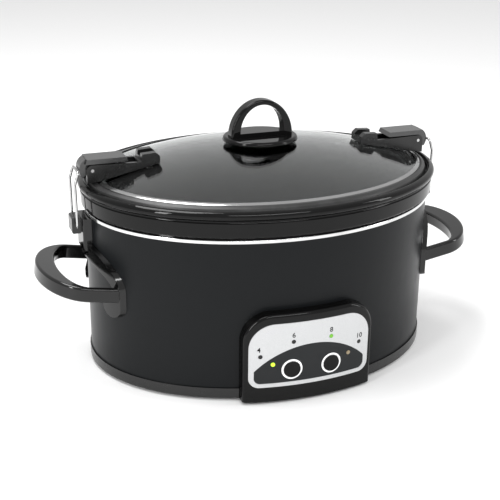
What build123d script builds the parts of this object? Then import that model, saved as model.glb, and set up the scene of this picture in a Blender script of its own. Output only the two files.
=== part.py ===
"""An oval slow cooker: heated housing, lift-out stoneware pot and a glass lid held by two wire latches.

Millimetres. The origin is the middle of the oval on the table, +X runs along the long side,
the control panel faces -Y and +Z is up. Every oval is the body's own ellipse moved outwards
("out") by a distance, so one pair of sizes drives them all.
"""

from build123d import *
import math
import os

# Overall sizes
body_length = 345.0
body_width = 260.0
foot_height = 3.0
base_ring_height = 10.0
base_ring_proud = 1.2
wall_top = 156.5
clearance = 0.2
running_clearance = 0.05

# Housing shell and rim band
wall = 0.8
wall_foot = foot_height + 5.0
ledge_width = 8.0
cover_thickness = 1.0
band_skirt_drop = 3.0
band_thickness = 0.8
band_proud = 1.0

# Heating well
liner_gap = 2.5
liner_thickness = 0.8
liner_floor = 34.0
liner_corner = 14.0
heater_low = 50.0
heater_high = 108.0
lead_radius = 1.0
heater_thickness = 1.4
wrap_thickness = 3.2
wrap_margin = 4.0

# Stoneware pot, as distances out from the body's oval
pot_outer_out = -14.5
pot_wall = 7.5
pot_taper = 6.5
pot_floor_thickness = 7.5
pot_floor_gap = 1.2
pot_corner_outer = 20.0
pot_corner_inner = 16.0
collar_out = 3.8
collar_height = 14.0
collar_gap = 2.6
bead_out = 6.2
bead_height = 9.0
ledge_drop = 5.0

# Lid
glass_out = -9.5
glass_thickness = 3.5
glass_rise = 24.0
rim_sheet = 0.8
rim_clearance = 0.3
gasket_floor = 1.2
gasket_inner = -14.5
knob_disc_length = 74.0
knob_disc_width = 66.0
knob_disc_thickness = 4.5
knob_loop_length = 63.0
knob_loop_height = 36.0
knob_loop_band = 9.0
knob_loop_depth = 13.0
knob_screw_radius = 3.0
washer_thickness = 1.1

# Latches: lever pivot, bracket and wire bail, given for the +X side
pivot_inset = 4.5
pivot_rise = 14.2
nose_radius = 11.6
lever_length = 34.0
lever_thickness = 4.6
lever_width = 22.0
slot_width = 16.4
bracket_width = 23.4
bracket_reach = 64.0
pin_radius = 1.5
wire_radius = 1.25
bail_width = 24.0
bail_bar_gap = 0.65
bail_pivot_out = 12.0
bail_pivot_drop = 10.5

# Carrying handles
handle_reach = 53.5
handle_half_span = 60.0
arm_thickness = 6.0
grip_width = 19.0
grip_height = 14.0
handle_tilt = 9.5
arm_low = 88.0
arm_straight = 13.5
flange_thickness = 5.0
flange_peak = 131.0
flange_band = 16.0
flange_foot_low = 69.0
flange_foot_width = 21.0
lug_width = 28.0
lug_out = 7.5

# Control panel
bezel_half_width = 64.0
bezel_top = 90.0
bezel_out = 11.0
bezel_wall = 2.5
bezel_corner = 28.0
plate_half_width = 59.5
plate_low = 18.0
plate_high = 81.0
plate_corner_top = 24.0
plate_corner_low = 10.0
plate_thickness = 1.0
inset_half_width = 54.5
inset_low = 22.0
inset_shoulder = 34.5
inset_peak = 58.0
button_radius = 7.8
button_spread = 19.5
button_height = 34.5
button_proud = 1.2
button_travel = 1.0
ring_width = 1.8
lens_radius = 1.9
board_half_width = 46.0
board_low = 22.0
board_high = 80.0
board_thickness = 1.6
board_inset = 1.4
window_half_width = 52.0

# Underside
foot_radius = 9.0
foot_inset_x = 54.5
foot_inset_y = 68.0
cord_height = 30.0
cord_bore = 3.4
grommet_radius = 9.0
grommet_neck = 6.6
grommet_proud = 8.0

# Worked out
half_length = body_length / 2
half_width = body_width / 2
ledge_top = wall_foot
cover_top = foot_height + cover_thickness
flange_top = wall_top + liner_thickness
seat = flange_top + band_thickness
liner_out = -pot_wall - liner_gap - 1.2
collar_low = seat + collar_gap
collar_high = collar_low + collar_height
bead_low = collar_high + 3.0
bead_top = bead_low + bead_height - 1.4
lid_ledge = bead_top - ledge_drop
gasket_low = lid_ledge + 0.3
rim_low = gasket_low + gasket_floor + 0.2
glass_low = rim_low + rim_sheet + 0.2
glass_top = glass_low + glass_thickness
glass_peak = glass_top + glass_rise
glass_length = half_length + glass_out
glass_width = half_width + glass_out
pivot_x = half_length - pivot_inset
pivot_z = bead_top + pivot_rise
bar_x = pivot_x + nose_radius + bail_bar_gap + wire_radius
bail_x = half_length + bail_pivot_out
bail_pivot_height = wall_top - bail_pivot_drop
bracket_inner_end = pivot_x - bracket_reach
board_front = half_width - board_inset
foot_x = half_length - foot_inset_x
foot_y = half_width - foot_inset_y
plate_out = bezel_out + clearance
knob_base = glass_peak + 2.0
knob_top = knob_base + knob_disc_thickness


def oval(out, z=0.0):
    """The body's ellipse moved outwards by a distance, as a face at a height."""
    return Pos(0, 0, z) * Ellipse(half_length + out, half_width + out).face()


def oval_plate(out, low, high):
    """A solid oval slab."""
    return extrude(oval(out, low), high - low)


def oval_ring(out, inner, low, high):
    """An upright oval ring between two distances out."""
    return oval_plate(out, low, high) - oval_plate(inner, low - 1, high + 1)


def out_line(*points):
    """Straight edges through (out, z) points, on the plane where the oval starts."""
    return Polyline([(half_length + out, 0, z) for out, z in points])


def out_arc(start, middle, end):
    """A round edge through three (out, z) points."""
    return ThreePointArc(*[(half_length + out, 0, z) for out, z in (start, middle, end)])


def swept(*edges):
    """The closed section made of these edges, carried once round the oval."""
    path = Wire([Edge.make_ellipse(half_length, half_width)])
    return sweep(make_face(Wire(Curve() + list(edges)).edges()), path=path)


def wall_frame(y, z, out=0.0, side=1):
    """A plane on the oval wall at a height, looking outwards, on the +X or -X side."""
    a = half_length + out
    b = half_width + out
    x = side * a * math.sqrt(1 - (y / b) ** 2)
    return Plane(origin=(x, y, z), z_dir=(x / a**2, y / b**2, 0))


def front_y(x, out=0.0):
    """Where the oval's front lies at a distance along the body."""
    a = half_length + out
    return -(half_width + out) * math.sqrt(1 - (x / a) ** 2)


def rod(start, end, radius):
    """A round bar from one point to another."""
    direction = Vector(*end) - Vector(*start)
    face = Plane(origin=start, z_dir=direction) * Circle(radius).face()
    return extrude(face, direction.length)


def punched(frame, reach, radius):
    """A twelve-sided punch across the thin wall, centred on a plane."""
    level = Plane(origin=frame.origin, x_dir=(0, 0, 1), z_dir=frame.z_dir)
    return extrude(level * RegularPolygon(radius, 12).face(), reach, both=True)


def tube_along(points, radius, bend):
    """A round wire along straight runs joined by arcs."""
    path = FilletPolyline(*points, radius=bend)
    section = Plane(origin=path @ 0, z_dir=path % 0) * Circle(radius).face()
    return sweep(section, path=path)


def side_prism(face, width):
    """A face drawn in X and Z made solid across Y, centred."""
    return extrude(face, width / 2, both=True)


def xz(*points):
    """A straight-sided face drawn in X and Z."""
    return make_face(Polyline([(x, 0, z) for x, z in points], close=True))


def mirrored(shape):
    """The same piece on the -X side."""
    return mirror(shape, about=Plane.YZ)


# ---------------------------------------------------------------- control panel outlines


def front_block(face):
    """A face drawn in X and Z carried through the front of the housing."""
    return Pos(0, -half_width - 40, 0) * extrude(face, 80, dir=(0, 1, 0))


def front_shell(face, outer, inner):
    """The part of a front block that lies between two distances out."""
    block = front_block(face)
    low = block.bounding_box().min.Z - 1
    high = block.bounding_box().max.Z + 1
    return (block & oval_plate(outer, low, high)) - oval_plate(inner, low, high)


def arched_panel(half, low, high, top_corner, low_corner):
    """A panel outline with large upper corners and small lower ones."""
    face = xz((-half, low), (half, low), (half, high), (-half, high))
    upper = [v for v in face.vertices() if v.Z > (low + high) / 2]
    face = fillet(upper, top_corner)
    if low_corner > 0:
        lower = [v for v in face.vertices() if v.Z < low + 0.1]
        face = fillet(lower, low_corner)
    return face


def inset_outline(grow=0.0):
    """The dark arched field that holds the two buttons."""
    half = inset_half_width + grow
    low = inset_low - grow
    shoulder = inset_shoulder
    corner = 6.0
    edges = [
        Line((-half + corner, 0, low), (half - corner, 0, low)),
        ThreePointArc(
            (half - corner, 0, low),
            (half - corner * 0.29, 0, low + corner * 0.29),
            (half, 0, low + corner),
        ),
        Line((half, 0, low + corner), (half, 0, shoulder)),
        ThreePointArc((half, 0, shoulder), (0, 0, inset_peak + grow), (-half, 0, shoulder)),
        Line((-half, 0, shoulder), (-half, 0, low + corner)),
        ThreePointArc(
            (-half, 0, low + corner),
            (-half + corner * 0.29, 0, low + corner * 0.29),
            (-half + corner, 0, low),
        ),
    ]
    return make_face(edges)


def spot(x, z, radius):
    """A round outline on the front panel."""
    return make_face(Edge.make_circle(radius, Plane(origin=(x, 0, z), z_dir=(0, -1, 0))))


button_places = {"select_button": -button_spread, "off_button": button_spread}
timer_lens_places = [(-49.0, 49.5), (-18.5, 62.0), (49.0, 49.5)]
lit_timer_place = (18.5, 62.0)
power_lens_place = (-37.5, 41.0)
warm_lens_place = (37.5, 41.0)
all_lens_places = timer_lens_places + [lit_timer_place, power_lens_place, warm_lens_place]


# ---------------------------------------------------------------- housing


def outer_housing():
    """The painted oval wall, with a window behind the panel and holes for cord and screws."""
    shell = oval_ring(0, -wall, wall_foot, wall_top)
    window = xz(
        (-window_half_width, board_low - 2),
        (window_half_width, board_low - 2),
        (window_half_width, board_high + 3),
        (-window_half_width, board_high + 3),
    )
    shell -= front_block(window)
    back = Plane(origin=(0, half_width, cord_height), z_dir=(0, 1, 0))
    shell -= punched(back, 6, grommet_neck + clearance)
    for frame in handle_screw_frames():
        shell -= punched(frame, 6, 2.3)
    for side in (1, -1):
        end = Plane(origin=(side * half_length, 0, anchor_screw_z), z_dir=(1, 0, 0))
        shell -= punched(end, 6, 1.8)
    for x, z in bezel_screw_places:
        front = Plane(origin=(x, front_y(x), z), z_dir=(0, 1, 0))
        shell -= punched(front, 6, 1.8)
    return shell


def rim_band():
    """The bright trim band that caps the wall and carries the pot."""
    top = oval_ring(band_proud, liner_out + 1.5, flange_top, seat)
    skirt = oval_ring(band_proud, clearance, seat - band_skirt_drop, flange_top)
    band = top + skirt
    outer_edges = [
        e
        for e in band.edges()
        if abs(e.center().Z - seat) < 0.01 and e.bounding_box().size.X > body_length
    ]
    return fillet(outer_edges, 0.5)


def liner_pan():
    """The sheet-metal heating well with its top flange."""
    outer = oval_plate(liner_out + liner_thickness, liner_floor, flange_top)
    outer = fillet(outer.edges().sort_by(Axis.Z)[0], liner_corner)
    inner = oval_plate(liner_out, liner_floor + liner_thickness, flange_top + 5)
    inner = fillet(inner.edges().sort_by(Axis.Z)[0], liner_corner - liner_thickness)
    flange = oval_ring(-1.0, liner_out, wall_top, flange_top)
    return (outer + flange) - inner


def heater_band():
    """The wrap-round heating band on the side of the well."""
    inner = liner_out + liner_thickness + clearance
    return oval_ring(inner + heater_thickness, inner, heater_low, heater_high)


def heater_wrap():
    """The glass-fibre wrap over the heating band."""
    inner = liner_out + liner_thickness + heater_thickness + 2 * clearance
    return oval_ring(inner + wrap_thickness, inner, heater_low, heater_high + wrap_margin)


def base_ring():
    """The moulded ring that the wall stands in."""
    ring = oval_ring(base_ring_proud, clearance / 2, foot_height, foot_height + base_ring_height)
    ledge = oval_ring(base_ring_proud, -ledge_width, cover_top, ledge_top)
    skirt = oval_ring(base_ring_proud, -3.0, foot_height, cover_top)
    ring = ring + ledge + skirt
    gap = bezel_half_width + clearance
    notch = Pos(0, -half_width, 0) * Box(2 * gap, 60, 60)
    ring -= notch - oval_plate(clearance, -40, 60)
    for x, y in cover_screw_places():
        ring -= Pos(x, y, 0) * Cylinder(1.65, 40)
    return ring


def cover_screw_places():
    """Six places on the base ring's ledge."""
    a = half_length - 5.6
    b = half_width - 5.6
    return [
        (a * math.cos(math.radians(t)), b * math.sin(math.radians(t))) for t in (0, 62, 118, 180, 242, 298)
    ]


def bottom_cover():
    """The steel bottom plate with vent slots and bosses for the power board."""
    plate = oval_plate(-3.2, foot_height, cover_top)
    for x in range(-75, 76, 15):
        for y in (-62, 62):
            slot = Pos(x, y, foot_height) * SlotOverall(30, 4, rotation=90).face()
            plate -= extrude(slot, 5, both=True)
    for x, y in foot_places:
        plate -= Pos(x, y, 0) * Cylinder(3.1, 20)
    for x, y in cover_screw_places():
        plate -= Pos(x, y, 0) * Cylinder(1.7, 20)
    plate -= Cylinder(3.2, 20)
    for x, y in power_screw_places:
        plate += Pos(x, y, cover_top + 3) * Cylinder(3.5, 6)
        plate -= Pos(x, y, cover_top + 4) * Cylinder(1.3, 6)
    return plate


foot_places = [(sx * foot_x, sy * foot_y) for sx in (1, -1) for sy in (1, -1)]


def feet():
    """Four push-in rubber feet."""
    pads = []
    for x, y in foot_places:
        pad = Pos(x, y, foot_height / 2) * Cylinder(foot_radius, foot_height)
        pad = chamfer(pad.edges().group_by(Axis.Z)[0], 0.6)
        pads.append(pad + Pos(x, y, foot_height + 1.25) * Cylinder(3.0, 2.5))
    return Compound(children=pads)


def cover_screws():
    """Six screws that hold the bottom plate to the base ring."""
    screws = []
    for x, y in cover_screw_places():
        head = Pos(x, y, foot_height - 0.6) * Cylinder(2.8, 1.2)
        screws.append(head + Pos(x, y, foot_height + 2.2) * Cylinder(1.6, 4.4))
    return Compound(children=screws)


def tie_bolt():
    """The stud under the well that draws it down to the bottom plate."""
    return rod((0, 0, 0.8), (0, 0, liner_floor), 3.0)


def tie_nut():
    """The nut on the stud, under the bottom plate."""
    nut = Pos(0, 0, foot_height - 2.0) * extrude(RegularPolygon(5.5, 6).face(), 2.0)
    return nut - Cylinder(3.0 + running_clearance, 20)


# ---------------------------------------------------------------- panel

bezel_screw_places = [(-56.5, 17.5), (56.5, 17.5)]


def control_bezel():
    """The glossy hood round the control panel, hollow behind its face."""
    outline = arched_panel(bezel_half_width, foot_height, bezel_top, bezel_corner, 0)
    hood = front_shell(outline, bezel_out, clearance)
    front_edges = [
        e
        for e in hood.edges()
        if e.center().Y < front_y(e.center().X, bezel_out) + 3.0 and e.center().Z > foot_height + 1
    ]
    hood = fillet(front_edges, 3.5)
    hollow = arched_panel(
        bezel_half_width - bezel_wall, cover_top + 3, bezel_top - bezel_wall, bezel_corner - bezel_wall, 0
    )
    hood -= front_shell(hollow, bezel_out - bezel_wall, -20)
    recess = plate_outline(clearance)
    hood -= front_shell(recess, bezel_out + 5, plate_out - plate_thickness)
    for x in button_places.values():
        hood -= front_block(spot(x, button_height, button_radius + 0.25))
    for x, z in all_lens_places:
        hood -= front_block(spot(x, z, lens_radius + 0.15))
    for x, z in bezel_screw_places:
        wall_y = front_y(x, 0)
        hood += front_shell(spot(x, z, 3.5), bezel_out - bezel_wall / 2, clearance)
        hood -= rod((x, wall_y - 7, z), (x, wall_y + 5, z), 1.55)
    return hood


def plate_outline(grow=0.0):
    """The outline of the bright control plate."""
    return arched_panel(
        plate_half_width + grow,
        plate_low - grow,
        plate_high + grow,
        plate_corner_top + grow,
        plate_corner_low + grow,
    )


def faceplate():
    """The bright plate that carries the timer marks."""
    plate = front_shell(plate_outline(), plate_out, plate_out - plate_thickness)
    plate -= front_block(inset_outline(clearance))
    for x, z in all_lens_places:
        plate -= front_block(spot(x, z, lens_radius + 0.15))
    return plate


def keypad_overlay():
    """The dark arched field with openings for buttons and lenses."""
    field = front_shell(inset_outline(), plate_out - clearance, plate_out - plate_thickness)
    for x in button_places.values():
        field -= front_block(spot(x, button_height, button_radius + 0.25))
    for x, z in (power_lens_place, warm_lens_place):
        field -= front_block(spot(x, z, lens_radius + 0.15))
    return field


def button_rings():
    """Pale rings round the two buttons."""
    rings = []
    for x in button_places.values():
        outline = spot(x, button_height, button_radius + 0.3 + ring_width)
        ring = front_shell(outline, plate_out + 0.1, plate_out - clearance)
        rings.append(ring - front_block(spot(x, button_height, button_radius + 0.3)))
    return Compound(children=rings)


def button(x):
    """A round push button with the stem that works its switch."""
    outline = spot(x, button_height, button_radius)
    cap = front_shell(outline, plate_out + button_proud, bezel_out - bezel_wall + 0.2)
    back = front_y(x, bezel_out - bezel_wall) - 0.5
    tip = -board_front - switch_height - button_travel - 0.15
    return cap + rod((x, back, button_height), (x, tip, button_height), 2.5)


switch_height = 2.0


def tact_switches():
    """Two low push switches on the control board."""
    switches = [
        Pos(x, -board_front - switch_height / 2, button_height) * Box(6, switch_height, 6)
        for x in button_places.values()
    ]
    return Compound(children=switches)


def lens(x, z):
    """A small light pipe through the panel."""
    return front_shell(spot(x, z, lens_radius), plate_out + 0.2, bezel_out - bezel_wall - 1)


def lens_group(places):
    """Several light pipes as one group."""
    return Compound(children=[lens(x, z) for x, z in places])


def led_emitters():
    """The lamps on the board behind the light pipes."""
    lamp = Box(3.2, 1.2, 2.4)
    reach = board_half_width - 2
    lamps = [Pos(x, -board_front - 0.6, z) * lamp for x, z in all_lens_places if abs(x) < reach]
    return Compound(children=lamps)


def control_board():
    """The circuit board behind the panel."""
    middle = (board_low + board_high) / 2
    board = Pos(0, -board_front + board_thickness / 2, middle) * Box(
        2 * board_half_width, board_thickness, board_high - board_low
    )
    for x, z in board_screw_places:
        board -= rod((x, -board_front - 3, z), (x, -board_front + 5, z), 1.6)
    return board


board_screw_places = [(-42.0, 26.0), (42.0, 26.0), (-30.0, 76.0), (30.0, 76.0)]


def board_screws():
    """Screws and spacers that carry the control board on the hood."""
    screws = []
    for x, z in board_screw_places:
        back = -board_front + board_thickness
        head = rod((x, back, z), (x, back + 1.5, z), 2.8)
        shank = rod((x, back, z), (x, front_y(x, bezel_out - bezel_wall) + 1.5, z), 1.5)
        spacer_block = rod((x, -board_front, z), (x, -half_width - 30, z), 3.0)
        spacer = spacer_block & oval_plate(bezel_out - bezel_wall - 0.05, 0, 150)
        screws.append(head + shank + spacer)
    return Compound(children=screws)


def microcontroller():
    """The control chip on the back of the board."""
    return Pos(0, -board_front + board_thickness + 0.8, 50) * Box(14, 1.6, 10)


def bezel_screws():
    """Two screws from inside the wall into the hood."""
    screws = []
    for x, z in bezel_screw_places:
        wall_y = front_y(x, -wall)
        head = rod((x, wall_y + 1.6, z), (x, wall_y + 3.2, z), 3.0)
        screws.append(head + rod((x, wall_y + 1.6, z), (x, wall_y - 6, z), 1.5))
    return Compound(children=screws)


# ---------------------------------------------------------------- electrics below the well

power_board_low = cover_top + 6.0
power_screw_places = [(-65.0, -32.0), (-65.0, 32.0), (-12.0, -32.0), (-12.0, 32.0)]


def power_board():
    """The mains circuit board on the bottom plate."""
    board = Pos(-38.5, 0, power_board_low + 0.8) * Box(62, 76, 1.6)
    for x, y in power_screw_places:
        board -= Pos(x, y, power_board_low) * Cylinder(1.6, 10)
    return board


def power_board_screws():
    """Four screws for the power board."""
    top = power_board_low + 1.6
    screws = []
    for x, y in power_screw_places:
        head = Pos(x, y, top + 0.9) * Cylinder(2.8, 1.8)
        screws.append(head + Pos(x, y, top - 2.0) * Cylinder(1.2, 4.0))
    return Compound(children=screws)


def on_power_board(x, y, length, width, height):
    """A block-shaped component standing on the power board."""
    return Pos(x, y, power_board_low + 1.6 + height / 2) * Box(length, width, height)


def relay():
    """The heater relay."""
    return fillet(on_power_board(-30, 14, 19, 15, 15).edges().filter_by(Axis.Z), 1.0)


def dropper_capacitor():
    """The capacitor that feeds the low-voltage supply."""
    return fillet(on_power_board(-52, -6, 10, 26, 15).edges().filter_by(Axis.Z), 2.0)


def terminal_block():
    """The block where the mains and heater leads are clamped."""
    block = on_power_board(-38, 30, 24, 10, 11)
    for x in (-46, -38, -30):
        block -= Pos(x, 30, power_board_low + 12) * Cylinder(2.0, 8)
    return block


def ribbon_cable():
    """The flat cable from the control board down to the power board."""
    back = -board_front + board_thickness
    drop = back + 4.0
    low = power_board_low + 1.6
    top = Pos(-30, (back + drop) / 2, 38.5) * Box(12, drop - back, 1.0)
    upright = Pos(-30, drop + 0.5, (low + 39) / 2) * Box(12, 1.0, 39 - low)
    run = Pos(-30, (drop - 34) / 2, low + 0.5) * Box(12, -34 - drop, 1.0)
    return top + upright + run


def heater_leads():
    """Two leads from the heating band to the power board."""
    leads = []
    low = power_board_low + 1.6 + lead_radius
    for x, end_x in ((-72.0, -60.0), (-86.0, -66.0)):
        y = -front_y(x, liner_out + liner_thickness + clearance + lead_radius + 0.35)
        points = [(x, y, heater_low), (x, y, low + 8), (end_x, y - 34, low + 6), (end_x, 36.0, low)]
        leads.append(tube_along(points, lead_radius, 6.0))
    return Compound(children=leads)


def temperature_sensor():
    """The thermistor puck held against the floor of the well."""
    return Pos(60, 0, liner_floor - 2.0) * Cylinder(8.0, 4.0)


def sensor_spring():
    """The spring that presses the sensor up from the bottom plate."""
    return spring_between(60, 0, cover_top, liner_floor - 4.0, 6.0, 0.7, 5)


def spring_between(x, y, low, high, radius, wire, turns):
    """A coil spring standing between two heights."""
    pitch = (high - low - 2 * wire) / turns
    helix = Pos(x, y, low + wire) * Helix(pitch, high - low - 2 * wire, radius)
    section = Plane(origin=helix @ 0, z_dir=helix % 0) * Circle(wire).face()
    return sweep(section, path=helix, is_frenet=True)


def thermal_fuse():
    """The one-shot fuse clipped under the floor of the well."""
    body = rod((30, 34, liner_floor - 2.6), (50, 34, liner_floor - 2.6), 2.5)
    clip = Pos(40, 34, liner_floor - 2.8) * Box(6, 9, 5.6)
    return body + clip


def cord_grommet():
    """The bushing where the mains cord goes in, at the back."""
    outside = back_rod(0.3, grommet_proud, grommet_radius)
    outside = fillet(outside.edges().sort_by(Axis.Y)[-1], 1.5)
    neck = back_rod(-5, 1, grommet_neck - 0.3)
    inside = back_rod(-5, -1.6, grommet_radius - 1)
    return outside + neck + inside - back_rod(-9, 12, cord_bore)


def back_rod(start, end, radius):
    """A round bar at the cord's height, between two distances out from the back of the wall."""
    return rod((0, half_width + start, cord_height), (0, half_width + end, cord_height), radius)


# ---------------------------------------------------------------- carrying handles

anchor_screw_z = bail_pivot_height + 5.5


def handle_screw_frames():
    """Where the four handle screws pass through the wall."""
    y = handle_half_span - flange_foot_width / 2 + 1
    z = flange_foot_low + flange_foot_width / 2
    return [wall_frame(sy * y, z, 0, side) for side in (1, -1) for sy in (1, -1)]


def grip_loop():
    """The tilted D-shaped loop, narrow at its arms and wide at the grip."""
    centre_x = half_length + arm_straight
    outer_reach = handle_reach - arm_straight
    inner_half = handle_half_span - arm_thickness
    outer = Pos(centre_x, 0, 0) * Ellipse(outer_reach, handle_half_span).face()
    outer += Pos(centre_x - 30, 0, 0) * Rectangle(60, 2 * handle_half_span).face()
    inner = Pos(centre_x, 0, 0) * Ellipse(outer_reach - grip_width, inner_half).face()
    inner += Pos(centre_x - 40, 0, 0) * Rectangle(80, 2 * inner_half).face()
    loop = extrude(outer - inner, grip_height)
    loop = fillet(loop.edges().filter_by(Plane.XY), 2.4)
    hinge = Pos(half_length, 0, arm_low)
    return hinge * Rot(0, -handle_tilt, 0) * Pos(-half_length, 0, 0) * loop


def flange_outline():
    """The arched flange seen from the end, drawn in Y and Z."""
    spring = arm_low + 8.0
    half = handle_half_span + 1
    outer = Ellipse(half, flange_peak - spring).face()
    outer += Pos(0, -15) * Rectangle(2 * half, 30).face()
    foot_centre = half - flange_foot_width / 2
    inner = Ellipse(half - 8.0, flange_peak - spring - flange_band).face()
    inner += Pos(0, -40) * Rectangle(2 * (half - flange_foot_width), 80).face()
    outer -= Pos(0, -40 - (spring - flange_foot_low - flange_foot_width / 2)) * Rectangle(200, 80).face()
    for side in (1, -1):
        outer += Pos(side * foot_centre, flange_foot_low + flange_foot_width / 2 - spring) * Circle(
            flange_foot_width / 2
        ).face()
    outline = outer - inner
    return Plane(origin=(0, 0, spring), x_dir=(0, 1, 0), z_dir=(1, 0, 0)) * outline


def carrying_handle():
    """A handle for the +X end: grip loop, arched flange and the lug below the latch wire."""
    flange = extrude(flange_outline(), half_length + 40)
    flange = flange & oval_plate(flange_thickness, 0, wall_top)
    lug_high = seat - band_skirt_drop - 1.0
    lug_low = flange_peak - 8
    lug = Pos(half_length + lug_out - 15, 0, (lug_high + lug_low) / 2) * Box(
        30, lug_width, lug_high - lug_low
    )
    lug = fillet(lug.edges().filter_by(Axis.Z), 2.0)
    handle = flange + lug + grip_loop()
    handle -= oval_plate(clearance, 0, wall_top + 20)
    handle -= Pos(half_length / 2 - body_length, 0, 100) * Box(2 * body_length, 2 * body_width, 400)
    for frame in handle_screw_frames():
        handle -= punched(frame, 4.5, 2.0)
    end = Plane(origin=(half_length, 0, anchor_screw_z), z_dir=(1, 0, 0))
    handle -= punched(end, 20, 1.7)
    return handle


def handle_screws():
    """Four screws from inside the wall into the handles' feet."""
    screws = []
    for frame in handle_screw_frames():
        place = frame.location
        head = place * Pos(0, 0, -wall - 1.3) * Cylinder(3.4, 1.6)
        shank = place * Pos(0, 0, 1.0) * Cylinder(1.9, 6.0)
        screws.append(head + shank)
    return Compound(children=screws)


def bail_anchor():
    """The block on the handle's lug that carries the foot of the wire."""
    low = bail_pivot_height - 7
    high = bail_pivot_height + 9
    face_x = half_length + lug_out
    end_x = bail_x + 4.5
    block = Pos((face_x + end_x) / 2, 0, (low + high) / 2) * Box(end_x - face_x, 16, high - low)
    block = fillet(block.edges().filter_by(Axis.Y), 2.0)
    bore = wire_radius + running_clearance
    block -= rod((bail_x, -20, bail_pivot_height), (bail_x, 20, bail_pivot_height), bore)
    block -= rod((face_x - 1, 0, anchor_screw_z), (bail_x + 2, 0, anchor_screw_z), 1.55)
    return block


def anchor_screw(side):
    """The screw from inside the wall through the lug into the anchor block."""
    start = half_length - wall - 2.0
    head = rod((start, 0, anchor_screw_z), (start + 1.6, 0, anchor_screw_z), 3.0)
    screw = head + rod((start, 0, anchor_screw_z), (bail_x + 1, 0, anchor_screw_z), 1.5)
    return screw if side > 0 else mirrored(screw)


# ---------------------------------------------------------------- latches


def wire_bail():
    """The spring-wire loop that the lever holds down."""
    half = bail_width / 2
    low = bail_pivot_height
    foot = 4.5
    kink = pivot_z - 12.0
    points = [
        (bail_x, foot, low),
        (bail_x, half, low),
        (bail_x + 0.5, half, kink),
        (bar_x, half, pivot_z - 0.5),
        (bar_x, -half, pivot_z - 0.5),
        (bail_x + 0.5, -half, kink),
        (bail_x, -half, low),
        (bail_x, -foot, low),
    ]
    return tube_along(points, wire_radius, 3.0)


def lid_height(x):
    """How high the glass stands above its edge at a distance along the lid."""
    return glass_top + glass_rise * (1 - (x / glass_length) ** 2)


def latch_bracket():
    """The moulded bracket that straddles the lid's edge and carries the lever."""
    inner = bracket_inner_end
    gap = 0.5
    edge_x = pivot_x + 5.4
    bottom = [
        (edge_x, bead_top + 1.8),
        (pivot_x - 1.5, rim_low + 6.2),
        (glass_length - 3.5, lid_height(glass_length - 3.5) + 1.6),
    ]
    middle_x = (inner + glass_length - 3.5) / 2
    arc = ThreePointArc(
        (glass_length - 3.5, 0, lid_height(glass_length - 3.5) + 1.6),
        (middle_x, 0, lid_height(middle_x) + gap),
        (inner, 0, lid_height(inner) + gap),
    )
    top = [
        (inner, lid_height(inner) + gap),
        (inner, glass_peak - 2.5),
        (inner + 4, glass_peak + 1.0),
        (inner + 17, glass_peak + 0.2),
        (inner + 18, pivot_z + 4.0),
        (pivot_x, pivot_z + 5.2),
    ]
    edges = [
        Polyline([(x, 0, z) for x, z in bottom]),
        arc,
        Polyline([(x, 0, z) for x, z in top]),
        ThreePointArc(
            (pivot_x, 0, pivot_z + 5.2),
            (pivot_x + 5.2 * 0.7071, 0, pivot_z + 5.2 * 0.7071),
            (pivot_x + 5.2, 0, pivot_z),
        ),
        Polyline([(pivot_x + 5.2, 0, pivot_z), (edge_x, 0, bead_top + 1.8)]),
    ]
    bracket = side_prism(make_face(edges), bracket_width)
    slot_start = inner + 20
    floor = 3.0
    slot = Pos((slot_start + bar_x) / 2, 0, 0) * Box(bar_x - slot_start, slot_width, 600)
    keep = xz(
        (slot_start - 1, 0),
        (pivot_x - nose_radius - 1.5, 0),
        (pivot_x - nose_radius - 1.5, lid_height(pivot_x - nose_radius - 1.5) + floor),
        (slot_start - 1, lid_height(slot_start - 1) + floor),
    )
    slot -= side_prism(keep, 60)
    bracket -= slot
    arch = Pos(inner + 10, 0, glass_peak - 1) * Box(30, slot_width - 6, 5)
    bracket -= arch
    bracket -= rod((pivot_x, -20, pivot_z), (pivot_x, 20, pivot_z), pin_radius + running_clearance)
    bracket -= Pos(inner + 8, 0, lid_height(inner + 8)) * Cylinder(1.75, 14)
    return bracket


def nose_point(turn):
    """A point on the lever's nose, turned upwards from +X by an angle in degrees."""
    angle = math.radians(turn)
    return (pivot_x + nose_radius * math.cos(angle), 0, pivot_z + nose_radius * math.sin(angle))


def latch_lever():
    """The latch lever: flat plate, hub on the pin and the hooked nose."""
    plate_top = pivot_z + 10.4
    plate_low = plate_top - lever_thickness
    start = pivot_x - lever_length
    plate = xz(
        (start, plate_low + 0.8),
        (start + 2, plate_top),
        (pivot_x + 4.5, plate_top),
        (pivot_x + 6.4, plate_low),
        (start + 2, plate_low),
    )
    plate = side_prism(plate, lever_width)
    top, middle, tip = [nose_point(turn) for turn in (60, 10, -40)]
    edges = [
        ThreePointArc(top, middle, tip),
        Polyline(
            [
                tip,
                (pivot_x + 4.5, 0, pivot_z - 4.0),
                (pivot_x - 4.5, 0, pivot_z - 1.0),
                (pivot_x - 5.5, 0, plate_low + 1),
                top,
            ]
        ),
    ]
    nose = side_prism(make_face(edges), slot_width - 1.0)
    hub = side_prism(Pos(pivot_x, 0, pivot_z) * (Plane.XZ * Circle(4.8)).face(), slot_width - 1.0)
    lever = plate + nose + hub
    lever -= rod((pivot_x, -20, pivot_z), (pivot_x, 20, pivot_z), pin_radius + 0.06)
    return lever


def lever_pin():
    """The pin that the lever turns on."""
    half = bracket_width / 2
    return rod((pivot_x, -half - 0.4, pivot_z), (pivot_x, half + 0.4, pivot_z), pin_radius)


def bracket_screw():
    """The screw through the glass into the bracket's inner block."""
    x = bracket_inner_end + 8
    under = lid_height(x) - glass_thickness - 1.2
    head = Pos(x, 0, under - 0.9) * Cylinder(4.0, 1.8)
    return head + Pos(x, 0, under + 4.4) * Cylinder(1.7, 9.0)


# ---------------------------------------------------------------- pot and lid


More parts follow.
